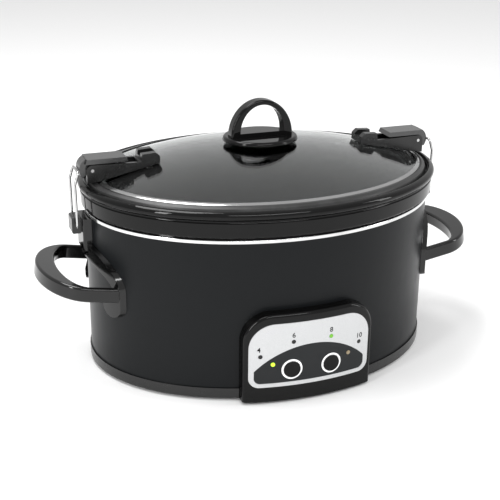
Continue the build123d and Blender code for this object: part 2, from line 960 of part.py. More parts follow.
def stoneware_pot():
    """The glazed pot with its overhanging rim."""
    outer = pot_outer_out
    inner = pot_outer_out - pot_wall
    low = liner_floor + liner_thickness + pot_floor_gap
    floor = low + pot_floor_thickness
    foot_out = outer - pot_taper
    foot_in = inner - pot_taper + 0.5
    deep = inner - 40
    ro = pot_corner_outer
    ri = pot_corner_inner
    inner_lip = lid_ledge - 3.0
    edges = [
        out_line((outer, seat), (-3.0, seat), (-3.0, collar_low), (collar_out - 2, collar_low)),
        out_arc(
            (collar_out - 2, collar_low),
            (collar_out - 0.6, collar_low + 0.6),
            (collar_out, collar_low + 2),
        ),
        out_line((collar_out, collar_low + 2), (collar_out + 0.6, collar_high)),
        out_arc(
            (collar_out + 0.6, collar_high),
            (collar_out - 0.6, collar_high + 1.5),
            (collar_out + 0.6, bead_low),
        ),
        out_arc(
            (collar_out + 0.6, bead_low),
            (bead_out, bead_low + 3.4),
            (collar_out - 1.0, bead_top - 0.3),
        ),
        out_arc((collar_out - 1.0, bead_top - 0.3), (0.8, bead_top), (-1.2, bead_top - 2.0)),
        out_line((-1.2, bead_top - 2.0), (-1.2, lid_ledge), (inner + 2.5, lid_ledge)),
        out_arc((inner + 2.5, lid_ledge), (inner + 0.7, lid_ledge - 0.9), (inner, inner_lip)),
        out_line((inner, inner_lip), (foot_in, floor + ri)),
        out_arc(
            (foot_in, floor + ri),
            (foot_in - ri * 0.293, floor + ri * 0.293),
            (foot_in - ri, floor),
        ),
        out_line((foot_in - ri, floor), (deep, floor), (deep, low), (foot_out - ro, low)),
        out_arc(
            (foot_out - ro, low),
            (foot_out - ro * 0.293, low + ro * 0.293),
            (foot_out, low + ro),
        ),
        out_line((foot_out, low + ro), (outer, seat)),
    ]
    pot = swept(*edges)
    return pot + oval_plate(deep + 6, low, floor)


def lid_glass():
    """The domed glass lid with holes for the knob and the brackets."""
    radius = (glass_length**2 + glass_rise**2) / (2 * glass_rise)
    middle = glass_length / 2
    rise = math.sqrt(radius**2 - middle**2) - (radius - glass_rise)
    edges = [
        Line((0, 0, glass_low + glass_rise), (0, 0, glass_peak)),
        ThreePointArc((0, 0, glass_peak), (middle, 0, glass_top + rise), (glass_length, 0, glass_top)),
        Line((glass_length, 0, glass_top), (glass_length, 0, glass_low)),
        ThreePointArc(
            (glass_length, 0, glass_low), (middle, 0, glass_low + rise), (0, 0, glass_low + glass_rise)
        ),
    ]
    dome = revolve(make_face(edges), Axis.Z)
    dome = scale(dome, by=(1, glass_width / glass_length, 1))
    dome -= Pos(0, 0, glass_peak) * Cylinder(knob_screw_radius + 0.5, 30)
    for side in (1, -1):
        dome -= Pos(side * (bracket_inner_end + 8), 0, glass_peak - 10) * Cylinder(2.2, 40)
    return dome


def lid_rim():
    """The bright steel channel rolled round the glass."""
    edge = glass_out + rim_clearance
    outer = edge + rim_sheet
    high = glass_top
    return swept(
        out_line(
            (outer, rim_low),
            (outer, high + 0.8),
            (outer - 1.5, high + 1.5),
            (outer - 3.6, high + 2.2),
            (outer - 3.6, high + 1.5),
            (outer - 1.7, high + 0.8),
            (edge, high + 0.3),
            (edge, rim_low + rim_sheet),
            (edge - 4.0, rim_low + rim_sheet),
            (edge - 4.0, rim_low),
            (outer, rim_low),
        )
    )


def lid_gasket():
    """The rubber seal round the lid's rim."""
    inside = glass_out + rim_clearance + rim_sheet + 0.3
    low = gasket_low
    return swept(
        out_line(
            (gasket_inner, low),
            (-2.6, low),
            (-1.9, low + 1.2),
            (-3.4, low + 5.0),
            (-6.4, low + 6.6),
            (inside, low + 6.6),
            (inside, low + gasket_floor),
            (gasket_inner, low + gasket_floor),
            (gasket_inner, low),
        )
    )


def knob():
    """The lid's knob: an oval disc with a standing finger loop."""
    outline = Pos(0, 0, knob_base) * Ellipse(knob_disc_length / 2, knob_disc_width / 2).face()
    disc = extrude(outline, knob_disc_thickness)
    disc = fillet(disc.edges().group_by(Axis.Z)[-1], 3.0)
    disc = fillet(disc.edges().group_by(Axis.Z)[0], 1.0)
    collar_foot = glass_peak + washer_thickness
    collar = rod((0, 0, collar_foot), (0, 0, knob_base + 1.0), 20.0)
    outer_half = knob_loop_length / 2
    base = knob_top - 1.0
    outer = ellipse_xz(outer_half, knob_loop_height, base)
    inner = ellipse_xz(outer_half - knob_loop_band, knob_loop_height - knob_loop_band, base + 4.5)
    keep = xz((-60, base), (60, base), (60, base + 60), (-60, base + 60))
    hole = xz((-60, base + 4.5), (60, base + 4.5), (60, base + 60), (-60, base + 60))
    loop = side_prism((outer & keep) - (inner & hole), knob_loop_depth)
    sides = [e for e in loop.edges() if abs(abs(e.center().Y) - knob_loop_depth / 2) < 0.01]
    outer_arcs = [
        e
        for e in sides
        if ((e @ 0.5).X / outer_half) ** 2 + (((e @ 0.5).Z - base) / knob_loop_height) ** 2 > 0.99
    ]
    loop = fillet(outer_arcs, 2.2)
    body = disc + collar + loop
    body -= Pos(0, 0, knob_base - 2) * Cylinder(1.9, 9)
    return body


def ellipse_xz(half, height, base):
    """An ellipse drawn in X and Z, centred at a height."""
    level = Plane(origin=(0, 0, base), x_dir=(1, 0, 0), z_dir=(0, -1, 0))
    return make_face(Edge.make_ellipse(half, height, level))


def knob_washer():
    """The soft washer between knob and glass."""
    ring = Pos(0, 0, glass_peak + washer_thickness / 2) * Cylinder(16.0, washer_thickness)
    return ring - Pos(0, 0, glass_peak) * Cylinder(3.0, 10)


def knob_screw():
    """The screw from under the glass into the knob."""
    under = glass_peak - glass_thickness
    head = Pos(0, 0, under - 1.2) * Cylinder(7.0, 2.0)
    return head + Pos(0, 0, under + 3.4) * Cylinder(1.85, 7.4)


def two_sides(shape):
    """The piece at both ends as one group."""
    return Compound(children=[shape, mirrored(shape)])


parts = {
    "outer_housing": outer_housing(),
    "rim_band": rim_band(),
    "liner_pan": liner_pan(),
    "heater_band": heater_band(),
    "heater_wrap": heater_wrap(),
    "base_ring": base_ring(),
    "bottom_cover": bottom_cover(),
    "feet": feet(),
    "cover_screws": cover_screws(),
    "tie_bolt": tie_bolt(),
    "tie_nut": tie_nut(),
    "control_bezel": control_bezel(),
    "bezel_screws": bezel_screws(),
    "faceplate": faceplate(),
    "keypad_overlay": keypad_overlay(),
    "button_rings": button_rings(),
    "tact_switches": tact_switches(),
    "timer_lenses": lens_group(timer_lens_places),
    "timer_lens_lit": lens(*lit_timer_place),
    "power_lens": lens(*power_lens_place),
    "warm_lens": lens(*warm_lens_place),
    "led_emitters": led_emitters(),
    "control_board": control_board(),
    "board_screws": board_screws(),
    "microcontroller": microcontroller(),
    "power_board": power_board(),
    "power_board_screws": power_board_screws(),
    "relay": relay(),
    "dropper_capacitor": dropper_capacitor(),
    "terminal_block": terminal_block(),
    "ribbon_cable": ribbon_cable(),
    "heater_leads": heater_leads(),
    "temperature_sensor": temperature_sensor(),
    "sensor_spring": sensor_spring(),
    "thermal_fuse": thermal_fuse(),
    "cord_grommet": cord_grommet(),
    "handle_screws": handle_screws(),
    "anchor_screws": Compound(children=[anchor_screw(1), anchor_screw(-1)]),
    "stoneware_pot": stoneware_pot(),
    "lid_glass": lid_glass(),
    "lid_rim": lid_rim(),
    "lid_gasket": lid_gasket(),
    "knob": knob(),
    "knob_washer": knob_washer(),
    "knob_screw": knob_screw(),
    "lever_pins": two_sides(lever_pin()),
    "bracket_screws": two_sides(bracket_screw()),
}

for node, place in button_places.items():
    parts[node] = button(place)

both_ends = {
    "handle": carrying_handle(),
    "bail_anchor": bail_anchor(),
    "wire_bail": wire_bail(),
    "latch_bracket": latch_bracket(),
    "latch_lever": latch_lever(),
}
for name, shape in both_ends.items():
    parts[name + "_right"] = shape
    parts[name + "_left"] = mirrored(shape)

os.makedirs("parts", exist_ok=True)
for node, shape in parts.items():
    export_step(shape, "parts/" + node + ".step")
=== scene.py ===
"""The finished look of an oval slow cooker: the finish of every piece, the panel's marks and the studio."""

import logging
import math
from dataclasses import dataclass, field
from enum import Enum

import bpy
import numpy as np
from mathutils import Euler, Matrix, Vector

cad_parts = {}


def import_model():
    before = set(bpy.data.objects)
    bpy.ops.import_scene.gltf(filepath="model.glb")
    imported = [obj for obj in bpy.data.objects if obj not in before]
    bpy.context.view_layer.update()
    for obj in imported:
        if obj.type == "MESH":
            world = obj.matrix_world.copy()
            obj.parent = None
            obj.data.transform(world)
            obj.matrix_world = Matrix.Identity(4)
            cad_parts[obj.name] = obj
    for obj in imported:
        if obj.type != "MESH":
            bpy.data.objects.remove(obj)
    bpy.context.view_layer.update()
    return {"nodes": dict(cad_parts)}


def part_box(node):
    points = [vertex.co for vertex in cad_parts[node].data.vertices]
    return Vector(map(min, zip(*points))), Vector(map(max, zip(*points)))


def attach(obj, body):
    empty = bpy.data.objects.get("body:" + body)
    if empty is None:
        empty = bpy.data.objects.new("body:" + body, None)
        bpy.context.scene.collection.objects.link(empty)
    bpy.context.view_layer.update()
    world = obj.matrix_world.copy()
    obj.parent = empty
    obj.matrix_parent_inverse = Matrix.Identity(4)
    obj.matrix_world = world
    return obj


LOG = logging.getLogger("slow_cooker")
Colour = tuple[float, float, float]
Span = tuple[float, float]
Stretch = tuple[float, float, float]
NOISE_GRAIN = 0.6
MIX_COLOUR_A, MIX_COLOUR_B, MIX_COLOUR_OUT = 6, 7, 2
MADE: dict[str, bpy.types.Material] = {}


class Operation(Enum):
    """What a Math node does."""

    ADD = "ADD"
    SUBTRACT = "SUBTRACT"
    MULTIPLY = "MULTIPLY"
    SINE = "SINE"


class Detail(Enum):
    """How fine the finest lumps of a noise are."""

    SMOOTH = 2.0
    PLAIN = 3.0
    FINE = 4.0
    FINER = 5.0
    FINEST = 6.0


class Axis(Enum):
    """The cooker's axes: along the oval, from front to back and upwards."""

    ALONG = "X"
    BACK = "Y"
    UP = "Z"


class Side(Enum):
    """The cooker's two ends, seen from the front."""

    LEFT = "left"
    RIGHT = "right"


def grey(value: float, warmth: float = 0.0) -> Colour:
    """Returns a grey, warmer above zero and cooler below."""
    return (value * (1 + warmth), value, value * (1 - warmth))


# ---------------------------------------------------------------- shader building


class Num:
    """A number that varies over a surface. Arithmetic on it adds Math nodes."""

    def __init__(self, shader: "Shader", socket: bpy.types.NodeSocket) -> None:
        """Keeps the shader that the number belongs to and the socket that gives it."""
        self.shader = shader
        self.socket = socket

    def math(self, operation: Operation, *others: "Num | float", first: bool = True) -> "Num":
        """Adds one Math node.

        Args:
            operation: What the node does.
            others: The other operands.
            first: Whether this number is the first operand or the second.

        Returns:
            The node's result.
        """
        operands = [self, *others] if first else [*others, self]
        values = {i: v.socket if isinstance(v, Num) else v for i, v in enumerate(operands)}
        node = self.shader.add("ShaderNodeMath", {"operation": operation.value}, values)
        return Num(self.shader, node.outputs[0])

    def __add__(self, other: "Num | float") -> "Num":
        """Returns the sum."""
        return self.math(Operation.ADD, other)

    __radd__ = __add__

    def __sub__(self, other: "Num | float") -> "Num":
        """Returns this less the other."""
        return self.math(Operation.SUBTRACT, other)

    def __rsub__(self, other: "Num | float") -> "Num":
        """Returns the other less this."""
        return self.math(Operation.SUBTRACT, other, first=False)

    def __mul__(self, other: "Num | float") -> "Num":
        """Returns the product."""
        return self.math(Operation.MULTIPLY, other)

    __rmul__ = __mul__

    def sine(self) -> "Num":
        """Returns the sine of this number."""
        return self.math(Operation.SINE)

    def between(self, low: float, high: float) -> "Num":
        """Works out how far this has gone from one value to another, with soft ends.

        Args:
            low: Where the result is 0.
            high: Where the result is 1.

        Returns:
            The way gone, from 0 to 1.
        """
        sockets = {"Value": self.socket, "From Min": low, "From Max": high}
        node = self.shader.add("ShaderNodeMapRange", {"interpolation_type": "SMOOTHSTEP"}, sockets)
        return Num(self.shader, node.outputs["Result"])


class Shader:
    """A material in the making: one Principled shader and the nodes that feed it."""

    def __init__(self, name: str) -> None:
        """Starts a material with nothing but the Principled shader.

        Args:
            name: The material's name.
        """
        self.material = bpy.data.materials.new(name)
        self.material.use_nodes = True
        self.tree = self.material.node_tree
        self.tree.nodes.clear()
        self.body = self.add("ShaderNodeBsdfPrincipled")
        self.add("ShaderNodeOutputMaterial", sockets={"Surface": self.body.outputs[0]})
        self._place = self.add("ShaderNodeTexCoord").outputs["Object"]

    def add(self, kind: str, settings: dict | None = None, sockets: dict | None = None) -> bpy.types.Node:
        """Adds a node.

        Args:
            kind: The node's type.
            settings: Its own properties, set before anything else.
            sockets: A value or a link for each input, by name or place.

        Returns:
            The node.
        """
        node = self.tree.nodes.new(kind)
        for name, value in (settings or {}).items():
            setattr(node, name, value)
        for name, value in (sockets or {}).items():
            value = value.socket if isinstance(value, Num) else value
            if isinstance(value, bpy.types.NodeSocket):
                self.tree.links.new(value, node.inputs[name])
            else:
                node.inputs[name].default_value = value
        return node

    def set(self, **values: "Num | float | Colour | bpy.types.NodeSocket") -> None:
        """Sets sockets of the Principled shader.

        Args:
            values: A value or a link for each socket, with an underscore for a space in its name.
        """
        for name, value in values.items():
            socket = self.body.inputs[name.replace("_", " ")]
            value = value.socket if isinstance(value, Num) else value
            if isinstance(value, bpy.types.NodeSocket):
                self.tree.links.new(value, socket)
            elif isinstance(value, tuple):
                socket.default_value = (*value, 1.0)
            else:
                socket.default_value = value

    def place(self, stretch: Stretch = (1, 1, 1)) -> bpy.types.NodeSocket:
        """Returns the surface's own place in metres, stretched along each axis."""
        sockets = {"Vector": self._place, "Scale": tuple(stretch)}
        return self.add("ShaderNodeMapping", sockets=sockets).outputs[0]

    def along(self, axis: Axis) -> Num:
        """Returns the place along an axis in metres."""
        return Num(self, self.add("ShaderNodeSeparateXYZ", sockets={0: self._place}).outputs[axis.value])

    def noise(self, scale: float, detail: Detail = Detail.PLAIN, stretch: Stretch = (1, 1, 1)) -> Num:
        """Makes cloudy noise.

        Args:
            scale: Lumps to a metre.
            detail: How fine its finest lumps are.
            stretch: How it is stretched along each axis.

        Returns:
            The noise, about 0 to 1.
        """
        sockets = {"Vector": self.place(stretch), "Scale": scale}
        sockets |= {"Detail": detail.value, "Roughness": NOISE_GRAIN}
        return Num(self, self.add("ShaderNodeTexNoise", sockets=sockets).outputs["Fac"])

    def cells(self, scale: float, stretch: Stretch = (1, 1, 1)) -> Num:
        """Returns the distance to the nearest of scattered points."""
        sockets = {"Vector": self.place(stretch), "Scale": scale}
        return Num(self, self.add("ShaderNodeTexVoronoi", sockets=sockets).outputs["Distance"])

    def mixed(self, factor: Num, low: Colour, high: Colour) -> bpy.types.NodeSocket:
        """Returns a colour between two, by the factor."""
        sockets = {"Factor": factor, MIX_COLOUR_A: (*low, 1.0), MIX_COLOUR_B: (*high, 1.0)}
        return self.add("ShaderNodeMix", {"data_type": "RGBA"}, sockets).outputs[MIX_COLOUR_OUT]

    def bump(self, height: Num, strength: float, depth: float) -> None:
        """Raises the surface's shading by the height, to a depth in metres."""
        sockets = {"Height": height, "Strength": strength, "Distance": depth}
        self.set(Normal=self.add("ShaderNodeBump", sockets=sockets).outputs[0])


# ---------------------------------------------------------------- finishes


@dataclass(frozen=True)
class Finish:
    """A plain finish.

    Attributes:
        name: Its name.
        slot: The record's material slot that it is meant for. Not used.
        colour: Its colour.
        roughness: How rough it is.
        shine: How much it mirrors.
    """

    name: str
    slot: str
    colour: Colour
    roughness: float
    shine: float = 0.5

    def make(self) -> bpy.types.Material:
        """Makes the material, once however many pieces wear it.

        Returns:
            The material.
        """
        if self.name not in MADE:
            shader = Shader(f"{self.name}_finish")
            shader.set(Base_Color=self.colour, Roughness=self.roughness, Specular_IOR_Level=self.shine)
            self.detail(shader)
            MADE[self.name] = shader.material
        return MADE[self.name]

    def tint(self, times: float, more: float = 0.0) -> Colour:
        """Returns the colour made that many times as strong, and lifted a little."""
        return tuple(c * times + more for c in self.colour)

    def detail(self, shader: Shader) -> None:
        """Adds what varies over the surface. The plain finish has nothing more."""


@dataclass(frozen=True)
class Enamel(Finish):
    """Baked paint on sheet steel, with a faint orange peel and soft hand marks.

    Attributes:
        peel: Lumps of the orange peel to a metre.
        peel_depth: Their depth in metres.
        peel_strength: How strongly they shade.
        drift: Slow clouds in the paint to a metre.
        smudge: Hand marks to a metre.
        smudge_edge: Where a hand mark starts in its noise, and where it is full.
        lightest: How much lighter the lightest paint is.
        drift_roughness: What the clouds add to the roughness.
        smudge_roughness: What the hand marks add to it.
        roughness_below: How far below its plain value it starts.
    """

    peel: float = 650.0
    peel_depth: float = 0.00004
    peel_strength: float = 0.35
    drift: float = 14.0
    smudge: float = 38.0
    smudge_edge: Span = (0.5, 0.72)
    lightest: float = 1.22
    drift_roughness: float = 0.05
    smudge_roughness: float = 0.06
    roughness_below: float = 0.03

    def detail(self, shader: Shader) -> None:
        """Adds the peel, the drift of colour and the hand marks.

        Args:
            shader: The material in the making.
        """
        cloud = shader.noise(self.drift, Detail.SMOOTH)
        smudge = shader.noise(self.smudge, Detail.FINER).between(*self.smudge_edge)
        shader.set(Base_Color=shader.mixed(cloud, self.colour, self.tint(self.lightest)))
        worn = cloud * self.drift_roughness + smudge * self.smudge_roughness
        shader.set(Roughness=worn + (self.roughness - self.roughness_below))
        shader.bump(shader.noise(self.peel, Detail.SMOOTH), self.peel_strength, self.peel_depth)


@dataclass(frozen=True)
class Plastic(Finish):
    """Moulded plastic with a fine skin, faint flow and handling marks.

    Attributes:
        skin: Lumps of the moulded skin to a metre.
        skin_depth: Their depth in metres.
        skin_strength: How strongly they shade.
        flow: Flow clouds to a metre.
        flow_stretch: How they are stretched along each axis.
        flow_tint: How much stronger the colour is where the plastic flowed last, and its lift.
        flow_roughness: What the flow adds to the roughness.
        scuffs: Handling marks to a metre.
        scuff_edge: Where a mark starts in its noise, and where it is full.
        marks: What the marks add to the roughness.
        coat: How much clear coat there is.
        coat_roughness: How rough that coat is.
    """

    skin: float = 900.0
    skin_depth: float = 0.00002
    skin_strength: float = 0.4
    flow: float = 22.0
    flow_stretch: Stretch = (1.0, 1.0, 2.2)
    flow_tint: Span = (1.3, 0.001)
    flow_roughness: float = 0.03
    scuffs: float = 70.0
    scuff_edge: Span = (0.52, 0.78)
    marks: float = 0.08
    coat: float = 0.0
    coat_roughness: float = 0.06

    def detail(self, shader: Shader) -> None:
        """Adds the skin, the flow and the marks.

        Args:
            shader: The material in the making.
        """
        flow = shader.noise(self.flow, Detail.PLAIN, self.flow_stretch)
        marks = shader.noise(self.scuffs, Detail.FINEST).between(*self.scuff_edge)
        shader.set(Base_Color=shader.mixed(flow, self.colour, self.tint(*self.flow_tint)))
        shader.set(Roughness=marks * self.marks + flow * self.flow_roughness + self.roughness)
        shader.set(Coat_Weight=self.coat, Coat_Roughness=self.coat_roughness)
        shader.bump(shader.noise(self.skin), self.skin_strength, self.skin_depth)


@dataclass(frozen=True)
class Metal(Finish):
    """Metal with drawn lines along one way and slight stains.

    Attributes:
        lines: Drawn lines to a metre.
        along: How the lines are stretched along each axis.
        depth: Their depth in metres.
        strength: How strongly they shade.
        stains: Stains to a metre.
        stain_edge: Where a stain starts in its noise, and where it is full.
        dullest: What a stain leaves of the colour.
        line_roughness: What the lines add to the roughness.
        stain_roughness: What the stains add to it.
        roughness_below: How far below its plain value it starts.
    """

    lines: float = 500.0
    along: Stretch = (0.04, 0.04, 1.0)
    depth: float = 0.00001
    strength: float = 0.3
    stains: float = 30.0
    stain_edge: Span = (0.45, 0.75)
    dullest: float = 0.86
    line_roughness: float = 0.12
    stain_roughness: float = 0.06
    roughness_below: float = 0.06

    def detail(self, shader: Shader) -> None:
        """Adds the drawn lines and the stains.

        Args:
            shader: The material in the making.
        """
        drawn = shader.noise(self.lines, Detail.FINE, self.along)
        stain = shader.noise(self.stains, Detail.FINE).between(*self.stain_edge)
        shader.set(Metallic=1.0, Base_Color=shader.mixed(stain, self.colour, self.tint(self.dullest)))
        worn = drawn * self.line_roughness + stain * self.stain_roughness
        shader.set(Roughness=worn + (self.roughness - self.roughness_below))
        shader.bump(drawn, self.strength, self.depth)


@dataclass(frozen=True)
class Glaze(Finish):
    """Thick fired glaze: a mirror skin over a slow wave, with pinholes here and there.

    Attributes:
        wave: Slow waves to a metre.
        wave_depth: Their depth in metres.
        wave_strength: How strongly they shade.
        pinholes: Pinholes to a metre.
        pinhole_edge: How far a pinhole reaches, as a part of their spacing.
        pinhole_depth: Its depth beside the wave's.
        pinhole_roughness: What it adds to the roughness.
        pool_tint: How much stronger the colour is where the glaze has pooled, and its lift.
        pool_roughness: What the pooling adds to the roughness.
    """

    wave: float = 24.0
    wave_depth: float = 0.00025
    wave_strength: float = 0.25
    pinholes: float = 45.0
    pinhole_edge: Span = (0.0, 0.014)
    pinhole_depth: float = 0.1
    pinhole_roughness: float = 0.2
    pool_tint: Span = (1.8, 0.001)
    pool_roughness: float = 0.03

    def detail(self, shader: Shader) -> None:
        """Adds the slow wave, the pinholes and where the glaze has pooled.

        Args:
            shader: The material in the making.
        """
        pool = shader.noise(self.wave, Detail.SMOOTH)
        pin = 1 - shader.cells(self.pinholes).between(*self.pinhole_edge)
        shader.set(Base_Color=shader.mixed(pool, self.colour, self.tint(*self.pool_tint)))
        shader.set(Roughness=pin * self.pinhole_roughness + pool * self.pool_roughness + self.roughness)
        shader.bump(pool - pin * self.pinhole_depth, self.wave_strength, self.wave_depth)


@dataclass(frozen=True)
class Glass(Finish):
    """Clear tempered glass, hardly marked.

    Attributes:
        bending: Its index of refraction.
        wipes: Wiping marks to a metre.
        wipe_stretch: How they are stretched along each axis.
        wipe_edge: Where a mark starts in its noise, and where it is full.
        wipe_roughness: What the marks add to the roughness.
    """

    bending: float = 1.48
    wipes: float = 26.0
    wipe_stretch: Stretch = (1.0, 0.5, 1.0)
    wipe_edge: Span = (0.5, 0.8)
    wipe_roughness: float = 0.006

    def detail(self, shader: Shader) -> None:
        """Makes the glass clear, with faint wiping marks.

        Args:
            shader: The material in the making.
        """
        wipe = shader.noise(self.wipes, Detail.FINE, self.wipe_stretch).between(*self.wipe_edge)
        shader.set(Transmission_Weight=1.0, IOR=self.bending)
        shader.set(Roughness=wipe * self.wipe_roughness + self.roughness)


@dataclass(frozen=True)
class Rubber(Finish):
    """Rubber or silicone, dusty and finely pitted.

    Attributes:
        dust: Patches of dust to a metre.
        dust_edge: Where a patch starts in its noise, and where it is full.
        dust_tint: How much stronger the colour is under dust, and its lift.
        dust_roughness: What the dust adds to the roughness.
        pits: Pits to a metre.
        pit_depth: Their depth in metres.
        pit_strength: How strongly they shade.
    """

    dust: float = 60.0
    dust_edge: Span = (0.45, 0.8)
    dust_tint: Span = (1.5, 0.01)
    dust_roughness: float = 0.15
    pits: float = 1200.0
    pit_depth: float = 0.00003
    pit_strength: float = 0.5

    def detail(self, shader: Shader) -> None:
        """Adds the dust and the pits.

        Args:
            shader: The material in the making.
        """
        dust = shader.noise(self.dust, Detail.FINEST).between(*self.dust_edge)
        shader.set(Base_Color=shader.mixed(dust, self.colour, self.tint(*self.dust_tint)))
        shader.set(Roughness=dust * self.dust_roughness + self.roughness)
        shader.bump(shader.noise(self.pits, Detail.SMOOTH), self.pit_strength, self.pit_depth)


@dataclass(frozen=True)
class SilverFilm(Finish):
    """A silver film with a very fine metallic grain.

    Attributes:
        grain: Grains to a metre.
        grain_edge: Where the darkest and the lightest grain lie in their noise.
        grain_depth: Their depth in metres.
        grain_strength: How strongly they shade.
        grain_roughness: What the grain adds to the roughness.
        drift: Slow clouds to a metre.
        drift_roughness: What the clouds add to the roughness.
        darkest: What is left of the colour in the darkest grain.
        metal: How much of the film is metal.
    """

    grain: float = 2600.0
    grain_edge: Span = (0.3, 0.7)
    grain_depth: float = 0.00001
    grain_strength: float = 0.2
    grain_roughness: float = 0.12
    drift: float = 16.0
    drift_roughness: float = 0.05
    darkest: float = 0.8
    metal: float = 0.35

    def detail(self, shader: Shader) -> None:
        """Adds the grain.

        Args:
            shader: The material in the making.
        """
        grain = shader.noise(self.grain, Detail.SMOOTH)
        drift = shader.noise(self.drift, Detail.SMOOTH)
        flecks = shader.mixed(grain.between(*self.grain_edge), self.tint(self.darkest), self.colour)
        shader.set(Base_Color=flecks, Metallic=self.metal)
        shader.set(Roughness=grain * self.grain_roughness + drift * self.drift_roughness + self.roughness)
        shader.bump(grain, self.grain_strength, self.grain_depth)


@dataclass(frozen=True)
class Lens(Finish):
    """A small light pipe, lit or not.

    Attributes:
        glow: How strongly it glows.
        streaks: Streaks inside the plastic to a metre.
        streak_tint: How much stronger the colour is in a streak, and its lift.
        streak_roughness: What the streaks add to the roughness.
        coat: How much clear coat there is.
    """

    glow: float = 0.0
    streaks: float = 700.0
    streak_tint: Span = (1.3, 0.01)
    streak_roughness: float = 0.08
    coat: float = 0.4

    def detail(self, shader: Shader) -> None:
        """Adds the glow, a little stronger in streaks inside the plastic.

        Args:
            shader: The material in the making.
        """
        streak = shader.noise(self.streaks, Detail.SMOOTH)
        light = self.tint(*self.streak_tint)
        shader.set(Base_Color=shader.mixed(streak, self.colour, light), Coat_Weight=self.coat)
        shader.set(Roughness=streak * self.streak_roughness + self.roughness)
        if self.glow > 0:
            shader.set(Emission_Color=shader.mixed(streak, self.colour, light), Emission_Strength=self.glow)


@dataclass(frozen=True)
class Board(Finish):
    """Solder mask over copper tracks.

    Attributes:
        pitch: How closely the tracks lie, in radians to a metre.
        pitch_up: Their pitch upwards beside that.
        pitch_back: Their pitch from front to back beside that.
        back_weight: How much the tracks from front to back count.
        track_edge: Where a track's edge starts and ends in the waves' sum.
        track_tint: How much stronger the colour is over a track.
        track_depth: How far a track stands up, in metres.
        track_strength: How strongly it shades.
        coat: How much clear coat there is.
        grime: Patches of flux to a metre.
        grime_roughness: What they add to the roughness.
    """

    pitch: float = 1900.0
    pitch_up: float = 0.7
    pitch_back: float = 0.8
    back_weight: float = 0.6
    track_edge: Span = (0.15, 0.3)
    track_tint: float = 1.9
    track_depth: float = 0.00004
    track_strength: float = 0.3
    coat: float = 0.3
    grime: float = 90.0
    grime_roughness: float = 0.2

    def detail(self, shader: Shader) -> None:
        """Adds the tracks as fine steps seen through the mask.

        Args:
            shader: The material in the making.
        """
        along = (shader.along(Axis.ALONG) * self.pitch).sine()
        upward = (shader.along(Axis.UP) * self.pitch * self.pitch_up).sine()
        back = (shader.along(Axis.BACK) * self.pitch * self.pitch_back).sine()
        track = (along * upward + back * self.back_weight).between(*self.track_edge)
        shader.set(Base_Color=shader.mixed(track, self.colour, self.tint(self.track_tint)))
        shader.set(Roughness=shader.noise(self.grime) * self.grime_roughness + self.roughness)
        shader.set(Coat_Weight=self.coat)
        shader.bump(track, self.track_strength, self.track_depth)


@dataclass(frozen=True)
class Weave(Finish):
    """Woven glass fibre.

    Attributes:
        pitch: How closely the threads lie, in radians to a metre.
        thread_edge: Where the gap and the top of a thread lie in the waves' product.
        gap_tint: What is left of the colour between threads.
        thread_depth: How deep the weave is, in metres.
        thread_strength: How strongly it shades.
        fuzz: Fuzzy patches to a metre.
        fuzz_roughness: What they add to the roughness.
    """

    pitch: float = 2600.0
    thread_edge: Span = (-0.6, 0.6)
    gap_tint: float = 0.6
    thread_depth: float = 0.0002
    thread_strength: float = 0.8
    fuzz: float = 200.0
    fuzz_roughness: float = 0.15

    def detail(self, shader: Shader) -> None:
        """Adds the threads: one set upright and one set round the well.

        Args:
            shader: The material in the making.
        """
        upright = (shader.along(Axis.ALONG) * self.pitch + shader.along(Axis.BACK) * self.pitch).sine()
        level = (shader.along(Axis.UP) * self.pitch).sine()
        thread = (upright * level).between(*self.thread_edge)
        shader.set(Base_Color=shader.mixed(thread, self.tint(self.gap_tint), self.colour))
        shader.set(Roughness=shader.noise(self.fuzz) * self.fuzz_roughness + self.roughness)
        shader.bump(thread, self.thread_strength, self.thread_depth)


ENAMEL = Enamel("charcoal_enamel", "charcoal_enamel", grey(0.0062, -0.1), 0.32, 0.13)
TRIM = Metal("bright_trim", "bright_trim", grey(0.7), 0.14, along=(0.03, 0.03, 1.0))
WELL = Metal("well_steel", "well_steel", grey(0.6), 0.34)
MICA = Metal("mica_band", "mica_band", (0.5, 0.43, 0.3), 0.5)
FIBRE = Weave("glass_fibre", "glass_fibre", (0.8, 0.77, 0.68), 0.8)
SATIN = Plastic(
    "satin_black_plastic", "satin_black_plastic", grey(0.005), 0.24, 0.5, skin_depth=0.000004, marks=0.1
)
GLOSS = Plastic(
    "gloss_black_plastic", "gloss_black_plastic", grey(0.0018), 0.035, 0.2, skin_depth=0.0000006, marks=0.03
)
# The levers are the brackets' satin black plastic with a lighter colour. That lighter colour is painted
# sheen, standing in for the overhead lamps' reflection on the levers.
LEVER_PAINTED_SHEEN = Plastic(
    "lever_painted_sheen_plastic", "satin_black_plastic", grey(0.011, -0.03), 0.2, 0.95, skin_depth=0.000004, marks=0.08
)
GRIP = Plastic(
    "grip_plastic", "gloss_black_plastic", grey(0.002), 0.1, 0.42, skin_depth=0.000001, marks=0.06
)
PLATED = Metal("plated_steel", "plated_steel", grey(0.58, -0.01), 0.36)
RUBBER = Rubber("foot_rubber", "foot_rubber", grey(0.018), 0.62)
SCREW = Metal("screw_steel", "screw_steel", grey(0.55), 0.28, along=(1.0, 1.0, 1.0))
SILVER = SilverFilm("silver_panel", "silver_panel", grey(0.6, -0.01), 0.34, 0.3)
OVERLAY = Plastic("dark_overlay", "dark_overlay", grey(0.016, -0.06), 0.4, 0.14, skin=2200.0, marks=0.05)
WHITE = Plastic("white_print", "white_print", grey(0.85), 0.4)
CHIP = Plastic("component_black", "component_black", grey(0.018), 0.5)
PALE = Plastic("component_white", "component_white", grey(0.78, 0.02), 0.45)
DARK_LENS = Lens("dark_lens", "dark_lens", grey(0.003), 0.2, 0.15)
GREEN_LENS = Lens("green_lens", "green_lens", (0.1, 0.3, 0.015), 0.2, 0.3, glow=0.25)
